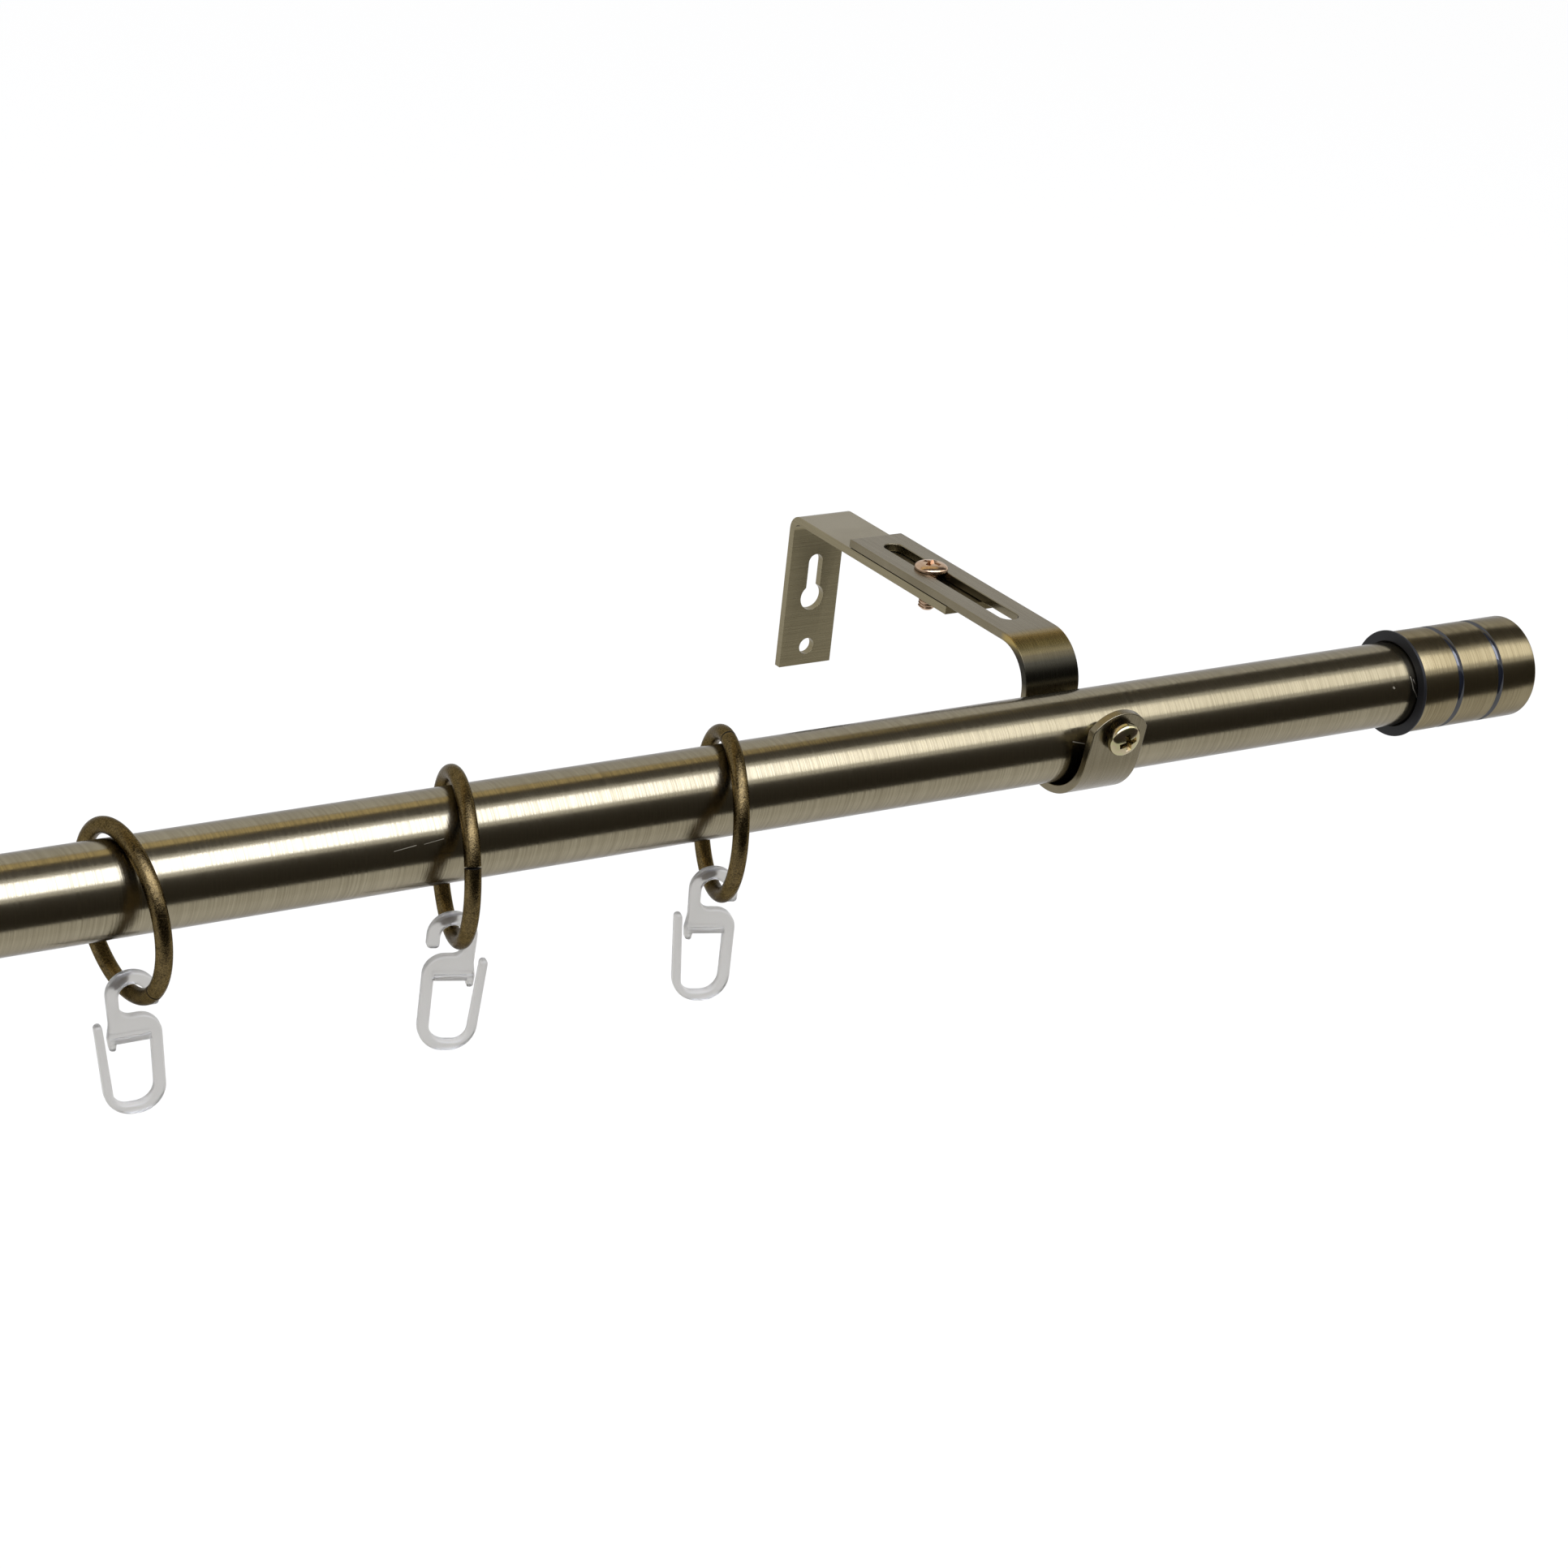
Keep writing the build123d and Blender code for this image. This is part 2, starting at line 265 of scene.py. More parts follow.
def screw_form(name, shank_length, rim, dome):
    profile = [(0, rim + dome)]
    for step in range(1, dome_steps + 1):
        angle = pi / 2 * step / dome_steps
        profile.append((screw_head_radius * sin(angle), rim + dome * cos(angle)))
    profile += [
        (screw_head_radius, 0),
        (screw_core_radius, 0),
        (screw_core_radius, -shank_length + screw_tip_chamfer),
        (screw_core_radius - screw_tip_chamfer, -shank_length),
        (0, -shank_length),
    ]
    body = placed(name, turned(name, profile, Vector((0, 0, 0)), Vector((0, 0, 1)), screw_steps))
    cross = bmesh.new()
    for turn in (0, pi / 2):
        arm = bmesh.ops.create_cube(cross, size=2)["verts"]
        for corner in arm:
            at_top = corner.co.z > 0
            taper = 1.0 if at_top else recess_taper
            reach = corner.co.x * recess_reach * taper
            aside = corner.co.y * recess_half_width * taper
            level = rim + dome + recess_overcut if at_top else (rim + dome) * (1 - recess_share)
            corner.co = Matrix.Rotation(turn, 3, "Z") @ Vector((reach, aside, level))
    cross_mesh = bpy.data.meshes.new(name + "_recess")
    cross.to_mesh(cross_mesh)
    cross.free()
    cutter = placed(name + "_recess", cross_mesh)
    recess = body.modifiers.new("recess", "BOOLEAN")
    recess.operation = "DIFFERENCE"
    recess.solver = "EXACT"
    recess.use_self = True
    recess.object = cutter
    cut = finished_mesh(body)
    body.modifiers.clear()
    body.data = cut
    bpy.data.objects.remove(cutter)
    cut.shade_smooth()
    cut.set_sharp_from_angle(angle=sharp_edge_angle)
    return body


screw_set = bpy.data.node_groups.new("screw_set", "GeometryNodeTree")
screw_set.interface.new_socket("Geometry", in_out="OUTPUT", socket_type="NodeSocketGeometry")
screw_inputs = {}
for label, kind in (
    ("Screw", "NodeSocketObject"),
    ("First Place", "NodeSocketVector"),
    ("Step", "NodeSocketVector"),
    ("Turn", "NodeSocketRotation"),
    ("Shank Length", "NodeSocketFloat"),
    ("Finish", "NodeSocketMaterial"),
):
    socket = screw_set.interface.new_socket(label, in_out="INPUT", socket_type=kind)
    screw_inputs[label] = socket.identifier
nodes, links = screw_set.nodes, screw_set.links
given = nodes.new("NodeGroupInput")
result = nodes.new("NodeGroupOutput")
screw_itself = nodes.new("GeometryNodeObjectInfo")
thread_line = nodes.new("GeometryNodeCurveSpiral")
thread_line.inputs["Resolution"].default_value = 20
thread_line.inputs["Start Radius"].default_value = thread_crest_radius - thread_ridge / 2
thread_line.inputs["End Radius"].default_value = thread_crest_radius - thread_ridge / 2
thread_turns = nodes.new("ShaderNodeMath")
thread_turns.operation = "DIVIDE"
thread_turns.inputs[1].default_value = thread_pitch
thread_height = nodes.new("ShaderNodeMath")
thread_height.operation = "SUBTRACT"
thread_height.inputs[1].default_value = thread_run_out
thread_section = nodes.new("GeometryNodeCurvePrimitiveCircle")
thread_section.inputs["Resolution"].default_value = 4
thread_section.inputs["Radius"].default_value = thread_ridge
thread = nodes.new("GeometryNodeCurveToMesh")
thread.inputs["Fill Caps"].default_value = True
thread_drop = nodes.new("ShaderNodeCombineXYZ")
thread_flip = nodes.new("ShaderNodeMath")
thread_flip.operation = "MULTIPLY"
thread_flip.inputs[1].default_value = -1.0
thread_place = nodes.new("GeometryNodeTransform")
whole_screw = nodes.new("GeometryNodeJoinGeometry")
places = nodes.new("GeometryNodeMeshLine")
places.inputs["Count"].default_value = 2
copies = nodes.new("GeometryNodeInstanceOnPoints")
realized = nodes.new("GeometryNodeRealizeInstances")
finish = nodes.new("GeometryNodeSetMaterial")
links.new(given.outputs["Screw"], screw_itself.inputs["Object"])
links.new(given.outputs["Shank Length"], thread_height.inputs[0])
links.new(thread_height.outputs["Value"], thread_turns.inputs[0])
links.new(thread_turns.outputs["Value"], thread_line.inputs["Rotations"])
links.new(thread_height.outputs["Value"], thread_line.inputs["Height"])
links.new(thread_line.outputs["Curve"], thread.inputs["Curve"])
links.new(thread_section.outputs["Curve"], thread.inputs["Profile Curve"])
links.new(thread_height.outputs["Value"], thread_flip.inputs[0])
links.new(thread_flip.outputs["Value"], thread_drop.inputs["Z"])
links.new(thread.outputs["Mesh"], thread_place.inputs["Geometry"])
links.new(thread_drop.outputs["Vector"], thread_place.inputs["Translation"])
links.new(screw_itself.outputs["Geometry"], whole_screw.inputs["Geometry"])
links.new(thread_place.outputs["Geometry"], whole_screw.inputs["Geometry"])
links.new(given.outputs["First Place"], places.inputs["Start Location"])
links.new(given.outputs["Step"], places.inputs["Offset"])
links.new(places.outputs["Mesh"], copies.inputs["Points"])
links.new(whole_screw.outputs["Geometry"], copies.inputs["Instance"])
links.new(given.outputs["Turn"], copies.inputs["Rotation"])
links.new(copies.outputs["Instances"], realized.inputs["Geometry"])
links.new(realized.outputs["Geometry"], finish.inputs["Geometry"])
links.new(given.outputs["Finish"], finish.inputs["Material"])
links.new(finish.outputs["Geometry"], result.inputs["Geometry"])


def screw_pair(name, kind, out_way, slot_turn, rim, dome, finish_material):
    spots = {}
    for side in ("left", "right"):
        corners = [corner.co for corner in frame["nodes"][f"{side}_{kind}"].data.vertices]
        top = max(corner.dot(out_way) for corner in corners)
        low = min(corner.dot(out_way) for corner in corners)
        crown = [corner for corner in corners if corner.dot(out_way) > top - weld_distance]
        spots[side] = sum(crown, Vector()) / len(crown) - out_way * screw_head_height
    shank_length = top - low - screw_head_height
    single = screw_form(f"{kind}_single", shank_length, rim, dome)
    pair = placed(name, bpy.data.meshes.new(name))
    setting = pair.modifiers.new("screw_set", "NODES")
    setting.node_group = screw_set
    turn = out_way.to_track_quat("Z", "Y") @ Matrix.Rotation(slot_turn, 3, "Z").to_quaternion()
    setting[screw_inputs["Screw"]] = single
    setting[screw_inputs["First Place"]] = spots["left"]
    setting[screw_inputs["Step"]] = spots["right"] - spots["left"]
    setting[screw_inputs["Turn"]] = turn.to_euler()
    setting[screw_inputs["Shank Length"]] = shank_length
    setting[screw_inputs["Finish"]] = finish_material
    made = finished_mesh(pair)
    pair.modifiers.clear()
    pair.data = made
    bpy.data.objects.remove(single)
    return pair


clamp_copper = plated_metal(
    "clamp_copper",
    plating=(0.5, 0.36, 0.25),
    patina=(0.36, 0.24, 0.16),
    edge_tint=(0.9, 0.85, 0.8),
    smoothest=0.14,
    roughest=0.25,
    stroke_scale=(900, 900, 900),
    patch_scale=(300, 300, 300),
    stroke_depth=0.1,
)
clamp_screws = screw_pair(
    "clamp_screws",
    "clamp_screw",
    out_way=Vector((0, 0, 1)),
    slot_turn=radians(30),
    rim=0.0004,
    dome=0.0013,
    finish_material=clamp_copper,
)
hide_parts("left_clamp_screw", "right_clamp_screw")
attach(clamp_screws, "wall_brackets")


# Hook arms: slotted strip lying on each level leg and bent down to a cradle under the pole.
# The same brushed antique brass as the plates, but darker and cooler across the shoulder bend, with a
# painted golden highlight band near the top of the bend.
# The tab in front of the pole is tapped for the lock screw.
shoulder_low = 0.024
shoulder_high = 0.0374
shoulder_back = -0.0885
shoulder_front = -0.109
arm_brass = plated_metal(
    "arm_brass",
    plating=(0.2, 0.173, 0.116),
    patina=(0.158, 0.134, 0.084),
    edge_tint=(0.86, 0.86, 0.88),
    smoothest=0.22,
    roughest=0.3,
    stroke_scale=(3000, 60, 60),
    patch_scale=(60, 60, 60),
    stroke_depth=0.03,
)
tree = arm_brass.node_tree
surface = tree.nodes["Principled BSDF"]
brushed = surface.inputs["Base Color"].links[0].from_socket
place = tree.nodes.new("ShaderNodeTexCoord")
parts = tree.nodes.new("ShaderNodeSeparateXYZ")
tree.links.new(place.outputs["Object"], parts.inputs["Vector"])
height = tree.nodes.new("ShaderNodeMapRange")
height.inputs["From Min"].default_value = shoulder_low
height.inputs["From Max"].default_value = shoulder_high
tree.links.new(parts.outputs["Z"], height.inputs["Value"])
# Painted light on the shoulder bend: a darker, cooler band lower down and a painted golden highlight
# band near the top.
shoulder_ramp_with_highlight = tree.nodes.new("ShaderNodeValToRGB")
shoulder_ramp_with_highlight.color_ramp.elements[0].position = 0.1
shoulder_ramp_with_highlight.color_ramp.elements[0].color = (1, 1, 1, 1)
shoulder_ramp_with_highlight.color_ramp.elements[1].position = 1.0
shoulder_ramp_with_highlight.color_ramp.elements[1].color = (1, 1, 1, 1)
for spot, tint in (
    (0.35, (0.17, 0.18, 0.2, 1)),
    (0.66, (0.15, 0.16, 0.18, 1)),
    (0.76, (0.32, 0.31, 0.28, 1)),
    (0.84, (0.8, 0.74, 0.52, 1)),
    (0.9, (2.0, 1.75, 0.95, 1)),
    (0.965, (2.1, 1.75, 0.95, 1)),
):
    shoulder_ramp_with_highlight.color_ramp.elements.new(spot).color = tint
tree.links.new(height.outputs["Result"], shoulder_ramp_with_highlight.inputs["Fac"])
behind = tree.nodes.new("ShaderNodeMapRange")
behind.inputs["From Min"].default_value = shoulder_front
behind.inputs["From Max"].default_value = shoulder_front + 0.002
tree.links.new(parts.outputs["Y"], behind.inputs["Value"])
before = tree.nodes.new("ShaderNodeMapRange")
before.inputs["From Min"].default_value = shoulder_back + 0.001
before.inputs["From Max"].default_value = shoulder_back - 0.001
tree.links.new(parts.outputs["Y"], before.inputs["Value"])
on_shoulder = tree.nodes.new("ShaderNodeMath")
on_shoulder.operation = "MULTIPLY"
tree.links.new(behind.outputs["Result"], on_shoulder.inputs[0])
tree.links.new(before.outputs["Result"], on_shoulder.inputs[1])
shoulder_dark_and_highlight = tree.nodes.new("ShaderNodeMix")
shoulder_dark_and_highlight.data_type = "RGBA"
shoulder_dark_and_highlight.blend_type = "MULTIPLY"
tree.links.new(on_shoulder.outputs["Value"], shoulder_dark_and_highlight.inputs["Factor"])
tree.links.new(brushed, shoulder_dark_and_highlight.inputs[6])
tree.links.new(shoulder_ramp_with_highlight.outputs["Color"], shoulder_dark_and_highlight.inputs[7])
tree.links.new(shoulder_dark_and_highlight.outputs[2], surface.inputs["Base Color"])
for side in ("right", "left"):
    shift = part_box(f"{side}_hook_arm")[0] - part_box("right_hook_arm")[0]
    hook_arm = rounded_copy("right_hook_arm", f"{side}_bent_arm", strip_edge_round, shift)
    hook_arm.data.materials.append(arm_brass)
    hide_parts(f"{side}_hook_arm")
    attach(hook_arm, "pole")


# Pole: one drawn steel tube, brushed round and round and plated antique brass.
# It lies in the two cradles and its ends go into the cap liners.
tube_low, tube_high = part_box("pole_tube")
pole_middle = (tube_low + tube_high) / 2
tube_radius = (tube_high.z - tube_low.z) / 2
tube_half = (tube_high.x - tube_low.x) / 2
tube_wall = 0.001
tube_steps = 160
along_pole = Vector((1, 0, 0))
tube_profile = [
    (tube_radius - tube_wall, -tube_half),
    (tube_radius, -tube_half),
    (tube_radius, tube_half),
    (tube_radius - tube_wall, tube_half),
    (tube_radius - tube_wall, -tube_half),
]
tube_mesh = turned("brushed_tube", tube_profile, pole_middle, along_pole, tube_steps)
tube = placed("brushed_tube", tube_mesh)
tube_brass = plated_metal(
    "tube_brass",
    plating=(0.3, 0.266, 0.186),
    patina=(0.212, 0.183, 0.122),
    edge_tint=(0.62, 0.62, 0.64),
    smoothest=0.14,
    roughest=0.23,
    stroke_scale=(2600, 40, 40),
    patch_scale=(25, 8, 8),
    stroke_depth=0.07,
)
fine_scratch = bpy.data.node_groups.new("fine_scratch", "ShaderNodeTree")
for label, kind in (
    ("Place", "NodeSocketVector"),
    ("Start", "NodeSocketVector"),
    ("End", "NodeSocketVector"),
    ("Width", "NodeSocketFloat"),
):
    fine_scratch.interface.new_socket(label, in_out="INPUT", socket_type=kind)
fine_scratch.interface.new_socket("Mask", in_out="OUTPUT", socket_type="NodeSocketFloat")
nodes, links = fine_scratch.nodes, fine_scratch.links
given = nodes.new("NodeGroupInput")
result = nodes.new("NodeGroupOutput")
whole = nodes.new("ShaderNodeVectorMath")
whole.operation = "SUBTRACT"
gone = nodes.new("ShaderNodeVectorMath")
gone.operation = "SUBTRACT"
along = nodes.new("ShaderNodeVectorMath")
along.operation = "DOT_PRODUCT"
full = nodes.new("ShaderNodeVectorMath")
full.operation = "DOT_PRODUCT"
share = nodes.new("ShaderNodeMath")
share.operation = "DIVIDE"
share.use_clamp = True
nearest = nodes.new("ShaderNodeVectorMath")
nearest.operation = "SCALE"
apart = nodes.new("ShaderNodeVectorMath")
apart.operation = "DISTANCE"
fade = nodes.new("ShaderNodeMapRange")
fade.interpolation_type = "SMOOTHSTEP"
fade.inputs["To Min"].default_value = 1.0
fade.inputs["To Max"].default_value = 0.0
links.new(given.outputs["End"], whole.inputs[0])
links.new(given.outputs["Start"], whole.inputs[1])
links.new(given.outputs["Place"], gone.inputs[0])
links.new(given.outputs["Start"], gone.inputs[1])
links.new(gone.outputs["Vector"], along.inputs[0])
links.new(whole.outputs["Vector"], along.inputs[1])
links.new(whole.outputs["Vector"], full.inputs[0])
links.new(whole.outputs["Vector"], full.inputs[1])
links.new(along.outputs["Value"], share.inputs[0])
links.new(full.outputs["Value"], share.inputs[1])
links.new(whole.outputs["Vector"], nearest.inputs[0])
links.new(share.outputs["Value"], nearest.inputs["Scale"])
links.new(gone.outputs["Vector"], apart.inputs[0])
links.new(nearest.outputs["Vector"], apart.inputs[1])
links.new(apart.outputs["Value"], fade.inputs["Value"])
links.new(given.outputs["Width"], fade.inputs["From Max"])
links.new(fade.outputs["Result"], result.inputs["Mask"])
scratches = (
    ((0.25646, -0.11934, 0.02358), (0.25669, -0.11941, 0.02337), 0.0004),
    ((0.2621, -0.11852, 0.02524), (0.26254, -0.11966, 0.02259), 0.00021),
    ((0.26254, -0.11966, 0.02259), (0.26429, -0.12, 0.01979), 0.00021),
    ((0.26279, -0.11889, 0.02458), (0.26453, -0.11997, 0.02079), 0.00021),
    ((0.16152, -0.11953, 0.02302), (0.1647, -0.11976, 0.02218), 0.0002),
    ((-0.00999, -0.11954, 0.023), (-0.00487, -0.11937, 0.02349), 0.00012),
    ((-0.00307, -0.11939, 0.02345), (0.00152, -0.11921, 0.0239), 0.0001),
)
tree = tube_brass.node_tree
surface = tree.nodes["Principled BSDF"]
brushed = surface.inputs["Base Color"].links[0].from_socket
brushed_rough = surface.inputs["Roughness"].links[0].from_socket
place = tree.nodes.new("ShaderNodeTexCoord")
worn = None
for start, end, width in scratches:
    mark = tree.nodes.new("ShaderNodeGroup")
    mark.node_tree = fine_scratch
    mark.inputs["Start"].default_value = start
    mark.inputs["End"].default_value = end
    mark.inputs["Width"].default_value = width
    tree.links.new(place.outputs["Object"], mark.inputs["Place"])
    if worn is None:
        worn = mark.outputs["Mask"]
    else:
        either = tree.nodes.new("ShaderNodeMath")
        either.operation = "MAXIMUM"
        tree.links.new(worn, either.inputs[0])
        tree.links.new(mark.outputs["Mask"], either.inputs[1])
        worn = either.outputs["Value"]
bared = tree.nodes.new("ShaderNodeMix")
bared.data_type = "RGBA"
bared.inputs[7].default_value = (0.42, 0.39, 0.31, 1)
tree.links.new(worn, bared.inputs["Factor"])
tree.links.new(brushed, bared.inputs[6])
tree.links.new(bared.outputs[2], surface.inputs["Base Color"])
dulled = tree.nodes.new("ShaderNodeMix")
dulled.inputs[3].default_value = 0.65
tree.links.new(worn, dulled.inputs["Factor"])
tree.links.new(brushed_rough, dulled.inputs[2])
tree.links.new(dulled.outputs[0], surface.inputs["Roughness"])
tube.data.materials.append(tube_brass)
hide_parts("pole_tube")
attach(tube, "pole")


# Cap liners: moulded sleeves of black plastic pushed onto the tube's ends.
# Only the flange at the cap's mouth shows; the sleeve grips between tube and cap.
black_plastic = bpy.data.materials.new("black_plastic")
black_plastic.use_nodes = True
black_surface = black_plastic.node_tree.nodes["Principled BSDF"]
black_surface.inputs["Base Color"].default_value = (0.005, 0.005, 0.006, 1)
black_surface.inputs["Roughness"].default_value = 0.5
black_surface.inputs["Specular IOR Level"].default_value = 0.3
liner_inner = 0.01005
liner_outer = 0.01115
flange_thickness = 0.0008
flange_round = 0.00025
liner_lead_in = 0.0003
liner_steps = 128
rim_steps = 4


def quarter_round(corner_radius, corner_along, radius_way, along_way, size, steps):
    middle_radius = corner_radius - radius_way * size
    middle_along = corner_along - along_way * size
    round_points = []
    for step in range(steps + 1):
        angle = pi / 2 * step / steps
        radius = middle_radius + radius_way * size * sin(angle)
        round_points.append((radius, middle_along + along_way * size * cos(angle)))
    return round_points


for side, outward in (("right", 1), ("left", -1)):
    low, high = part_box(f"{side}_cap_liner")
    mouth_x = low.x if outward > 0 else high.x
    flange_radius = (high.z - low.z) / 2
    liner_length = high.x - low.x
    liner_profile = [
        (liner_inner, liner_length),
        (liner_inner, liner_lead_in),
        (liner_inner + liner_lead_in, 0),
        *quarter_round(flange_radius, 0, 1, -1, flange_round, rim_steps),
        *reversed(quarter_round(flange_radius, flange_thickness, 1, 1, flange_round, rim_steps)),
        (liner_outer, flange_thickness),
        (liner_outer, liner_length),
        (liner_inner, liner_length),
    ]
    flange_place = Vector((mouth_x, pole_middle.y, pole_middle.z))
    mesh = turned(f"{side}_liner", liner_profile, flange_place, along_pole * outward, liner_steps)
    mesh.materials.append(black_plastic)
    liner = placed(f"{side}_liner", mesh)
    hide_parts(f"{side}_cap_liner")
    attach(liner, "pole")


# End caps: turned cups pushed over the liners until the mouth meets the flange.
# Brushed antique brass, with two narrow grooves that were left dark and glossy.
cap_brass = plated_metal(
    "cap_brass",
    plating=(0.28, 0.238, 0.148),
    patina=(0.185, 0.15, 0.086),
    edge_tint=(0.52, 0.52, 0.53),
    smoothest=0.16,
    roughest=0.25,
    stroke_scale=(2600, 40, 40),
    patch_scale=(25, 8, 8),
    stroke_depth=0.08,
)
groove_lacquer = bpy.data.materials.new("groove_lacquer")
groove_lacquer.use_nodes = True
groove_surface = groove_lacquer.node_tree.nodes["Principled BSDF"]
groove_surface.inputs["Base Color"].default_value = (0.007, 0.009, 0.015, 1)
groove_surface.inputs["Roughness"].default_value = 0.16
groove_surface.inputs["Coat Weight"].default_value = 0.6
bare_rim = bpy.data.materials.new("bare_rim")
bare_rim.use_nodes = True
rim_surface = bare_rim.node_tree.nodes["Principled BSDF"]
rim_surface.inputs["Base Color"].default_value = (0.2, 0.115, 0.07, 1)
rim_surface.inputs["Metallic"].default_value = 1.0
rim_surface.inputs["Roughness"].default_value = 0.35
cap_wall = 0.001
cap_end_wall = 0.002
cap_rim_round = 0.00025
cap_end_round = 0.0006
cap_end_steps = 6
cap_steps = 144
groove_places = (0.0114, 0.024)
groove_half = 0.0008
groove_depth = 0.0008
groove_section = ((-1, 0), (-0.75, 0.55), (-0.4, 0.9), (0, 1), (0.4, 0.9), (0.75, 0.55), (1, 0))
brushed_finish, lacquer_finish, rim_finish = 0, 1, 2
for side, outward in (("right", 1), ("left", -1)):
    low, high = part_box(f"{side}_end_cap")
    mouth_x = low.x if outward > 0 else high.x
    cap_radius = (high.z - low.z) / 2
    cap_length = high.x - low.x
    cap_profile = [
        (0, cap_length - cap_end_wall),
        (cap_radius - cap_wall, cap_length - cap_end_wall),
        (cap_radius - cap_wall, 0),
        *quarter_round(cap_radius, 0, 1, -1, cap_rim_round, rim_steps),
    ]
    finishes = [brushed_finish] * 2 + [rim_finish] * (rim_steps + 1)
    for groove in groove_places:
        finishes += [brushed_finish] + [lacquer_finish] * (len(groove_section) - 1)
        for aside, deep in groove_section:
            cap_profile.append((cap_radius - groove_depth * deep, groove + groove_half * aside))
    cap_profile += reversed(quarter_round(cap_radius, cap_length, 1, 1, cap_end_round, cap_end_steps))
    cap_profile.append((0, cap_length))
    finishes += [brushed_finish] * (len(cap_profile) - 1 - len(finishes))
    cap_place = Vector((mouth_x, pole_middle.y, pole_middle.z))
    name = f"{side}_turned_cap"
    mesh = turned(name, cap_profile, cap_place, along_pole * outward, cap_steps, finishes)
    for finish_material in (cap_brass, groove_lacquer, bare_rim):
        mesh.materials.append(finish_material)
    cap = placed(name, mesh)
    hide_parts(f"{side}_end_cap")
    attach(cap, "pole")


# Lock screws: M4 pan heads through the tapped tab in front of the pole, tightened against the tube.
# Bright yellow zinc plating over steel.
lock_zinc = plated_metal(
    "lock_zinc",
    plating=(0.36, 0.36, 0.19),
    patina=(0.44, 0.33, 0.25),
    edge_tint=(0.8, 0.78, 0.7),
    smoothest=0.1,
    roughest=0.2,
    stroke_scale=(500, 500, 500),
    patch_scale=(300, 300, 300),
    stroke_depth=0.05,
)
tab_lean = radians(9.5)
lock_screws = screw_pair(
    "lock_screws",
    "lock_screw",
    out_way=Vector((0, -cos(tab_lean), -sin(tab_lean))),
    slot_turn=radians(20),
    rim=0.0008,
    dome=0.0016,
    finish_material=lock_zinc,
)
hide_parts("left_lock_screw", "right_lock_screw")
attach(lock_screws, "pole")


# Rings: round steel wire bent to a circle, with its cut ends butted together and their end faces
# painted near black as painted shade in the joint gap.
# Dark antique bronze plating, rubbed brighter in flecks; they slide freely on the pole.
ring_wire_radius = 0.00175
ring_joint_width = 0.0004
ring_joint_angles = (radians(230), radians(163), radians(92))
bent_ring = bpy.data.node_groups.new("bent_ring", "GeometryNodeTree")
bent_ring.interface.new_socket("Geometry", in_out="OUTPUT", socket_type="NodeSocketGeometry")
ring_inputs = {}
for label, kind in (
    ("Radius", "NodeSocketFloat"),
    ("Joint Start", "NodeSocketFloat"),
    ("Sweep", "NodeSocketFloat"),
    ("Middle", "NodeSocketVector"),
    ("Turn", "NodeSocketRotation"),
    ("Finish", "NodeSocketMaterial"),
):
    socket = bent_ring.interface.new_socket(label, in_out="INPUT", socket_type=kind)
    ring_inputs[label] = socket.identifier
nodes, links = bent_ring.nodes, bent_ring.links
given = nodes.new("NodeGroupInput")
result = nodes.new("NodeGroupOutput")
wire_line = nodes.new("GeometryNodeCurveArc")
wire_line.inputs["Resolution"].default_value = 160
wire_section = nodes.new("GeometryNodeCurvePrimitiveCircle")
wire_section.inputs["Resolution"].default_value = 32
wire_section.inputs["Radius"].default_value = ring_wire_radius
wire = nodes.new("GeometryNodeCurveToMesh")
wire.inputs["Fill Caps"].default_value = True
ring_place = nodes.new("GeometryNodeTransform")
realized = nodes.new("GeometryNodeRealizeInstances")
finish = nodes.new("GeometryNodeSetMaterial")
links.new(given.outputs["Radius"], wire_line.inputs["Radius"])
links.new(given.outputs["Joint Start"], wire_line.inputs["Start Angle"])
links.new(given.outputs["Sweep"], wire_line.inputs["Sweep Angle"])
links.new(wire_line.outputs["Curve"], wire.inputs["Curve"])
links.new(wire_section.outputs["Curve"], wire.inputs["Profile Curve"])
links.new(wire.outputs["Mesh"], ring_place.inputs["Geometry"])
links.new(given.outputs["Middle"], ring_place.inputs["Translation"])
links.new(given.outputs["Turn"], ring_place.inputs["Rotation"])
links.new(ring_place.outputs["Geometry"], realized.inputs["Geometry"])
links.new(realized.outputs["Geometry"], finish.inputs["Geometry"])
links.new(given.outputs["Finish"], finish.inputs["Material"])
links.new(finish.outputs["Geometry"], result.inputs["Geometry"])
ring_bronze = plated_metal(
    "ring_bronze",
    plating=(0.03, 0.022, 0.011),
    patina=(0.17, 0.122, 0.052),
    edge_tint=(0.5, 0.48, 0.45),
    smoothest=0.16,
    roughest=0.3,
    stroke_scale=(3000, 3000, 3000),
    patch_scale=(500, 500, 500),
    stroke_depth=0.2,
)
# Painted shade: the wire's end faces are near black to stand for the shade inside the narrow joint
# gap.
painted_joint_shade = bpy.data.materials.new("painted_joint_shade")
painted_joint_shade.use_nodes = True
joint_shade_surface = painted_joint_shade.node_tree.nodes["Principled BSDF"]
joint_shade_surface.inputs["Base Color"].default_value = (0.012, 0.01, 0.008, 1)
joint_shade_surface.inputs["Roughness"].default_value = 0.7
joint_shade_surface.inputs["Specular IOR Level"].default_value = 0.2
joints = {joint["name"]: joint for joint in frame["joints"]}
